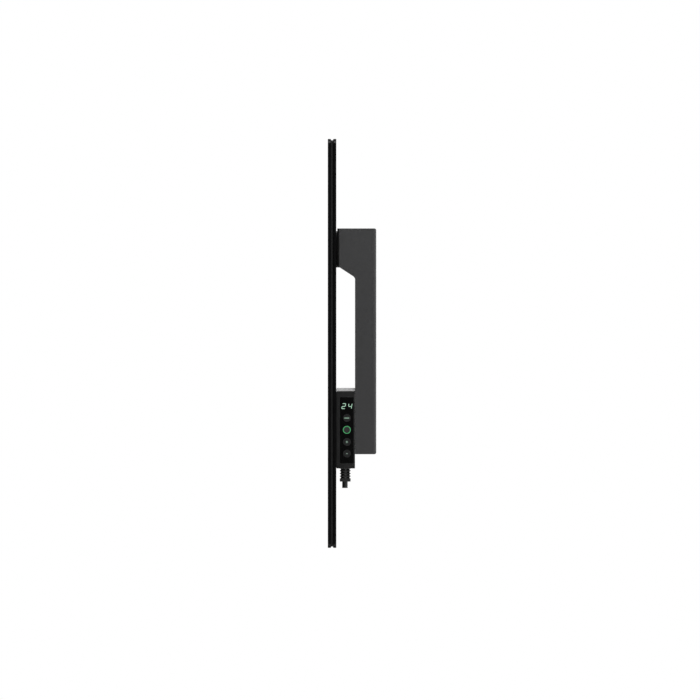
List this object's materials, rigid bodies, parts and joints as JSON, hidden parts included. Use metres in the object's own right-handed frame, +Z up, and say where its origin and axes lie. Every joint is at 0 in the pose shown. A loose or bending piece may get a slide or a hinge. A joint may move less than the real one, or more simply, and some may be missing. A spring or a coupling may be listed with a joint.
{
  "type": "wall panel heater",
  "caption": "Slim wall-hung panel heater: pencil-edged black glass sandwich on a stand-off wall frame, with a side control pod, sprung keys and a lift-off panel.",
  "frame": {"origin": "middle of the top rail's back face, on the wall plane", "axes": "+X to the right seen from the front, +Y into the wall (the front glass faces -Y), +Z up"},
  "size_m": [0.8, 0.0593, 0.5],
  "materials": {
    "black_glass": "black back-coated tempered glass, polished pencil edge",
    "edge_spacer": "matte dark grey silicone seal",
    "heating_film": "printed carbon film",
    "busbar_copper": "tinned copper strip",
    "insulation": "thin glass-fibre sheet",
    "powder_grey": "fine-texture dark grey powder coat",
    "cap_plastic": "matte dark grey moulding",
    "zinc_steel": "zinc-plated steel",
    "black_steel": "satin black coated steel",
    "pod_plastic": "satin black moulding",
    "fascia_gloss": "gloss black smoked lens",
    "key_plastic": "satin black key cap with pale lit mark",
    "ring_green": "green lit light guide",
    "display_block": "two-digit lit display",
    "circuit_board": "green solder mask",
    "component_black": "black component case",
    "relay_blue": "blue relay case",
    "terminal_green": "green terminal moulding",
    "rubber_black": "black moulded rubber",
    "lead_sheath": "black lead sheath, faint gloss",
    "core_brown": "brown core insulation",
    "core_blue": "blue core insulation",
    "core_earth": "green and yellow core insulation"
  },
  "bodies": {
    "wall_frame": {"bracket_right": "powder_grey", "bracket_left": "powder_grey", "rail_top": "powder_grey", "rail_bottom": "powder_grey", "foot_cap_right": "cap_plastic", "foot_cap_left": "cap_plastic", "head_pad_right": "rubber_black", "head_pad_left": "rubber_black", "rail_screw_top_right": "zinc_steel", "rail_screw_top_left": "zinc_steel", "rail_screw_bottom_right": "zinc_steel", "rail_screw_bottom_left": "zinc_steel"},
    "panel": {"front_glass": "black_glass", "rear_glass": "black_glass", "edge_spacer_top": "edge_spacer", "edge_spacer_bottom": "edge_spacer", "edge_spacer_left": "edge_spacer", "edge_spacer_right": "edge_spacer", "heating_film": "heating_film", "busbar_top": "busbar_copper", "busbar_bottom": "busbar_copper", "insulation_sheet": "insulation", "hanger_stud_right": "black_steel", "hanger_stud_left": "black_steel", "rest_block_left": "pod_plastic", "rest_pad_left": "rubber_black", "pod_base": "pod_plastic", "pod_shell": "pod_plastic", "fascia_lens": "fascia_gloss", "power_ring": "ring_green", "display_module": "display_block", "control_board": "circuit_board", "power_board": "circuit_board", "relay": "relay_blue", "power_supply_module": "component_black", "capacitor": "component_black", "terminal_block": "terminal_green", "thermal_cutout": "zinc_steel", "room_sensor": "component_black", "strain_relief": "rubber_black", "lead_sheath": "lead_sheath", "lead_core_live": "core_brown", "lead_core_neutral": "core_blue", "lead_core_earth": "core_earth", "film_lead_live": "core_brown", "film_lead_neutral": "core_blue", "pod_screw_1": "zinc_steel", "pod_screw_2": "zinc_steel", "pod_screw_3": "zinc_steel", "pod_screw_4": "zinc_steel", "key_switch_mode": "component_black", "key_switch_power": "component_black", "key_switch_plus": "component_black", "key_switch_minus": "component_black"},
    "key_mode_body": {"key_mode": "key_plastic"},
    "key_power_body": {"key_power": "key_plastic"},
    "key_plus_body": {"key_plus": "key_plastic"},
    "key_minus_body": {"key_minus": "key_plastic"}
  },
  "joints": [
    {"name": "panel_lift", "type": "slide", "parent": "wall_frame", "child": "panel", "axis": [0, 0, 1], "range_m": [0, 0.014]},
    {"name": "key_mode_press", "type": "slide", "parent": "panel", "child": "key_mode_body", "axis": [-1, 0, 0], "range_m": [0, 0.0006], "stiffness_N_per_m": 120},
    {"name": "key_power_press", "type": "slide", "parent": "panel", "child": "key_power_body", "axis": [-1, 0, 0], "range_m": [0, 0.0006], "stiffness_N_per_m": 120},
    {"name": "key_plus_press", "type": "slide", "parent": "panel", "child": "key_plus_body", "axis": [-1, 0, 0], "range_m": [0, 0.0006], "stiffness_N_per_m": 120},
    {"name": "key_minus_press", "type": "slide", "parent": "panel", "child": "key_minus_body", "axis": [-1, 0, 0], "range_m": [0, 0.0006], "stiffness_N_per_m": 120}
  ]
}
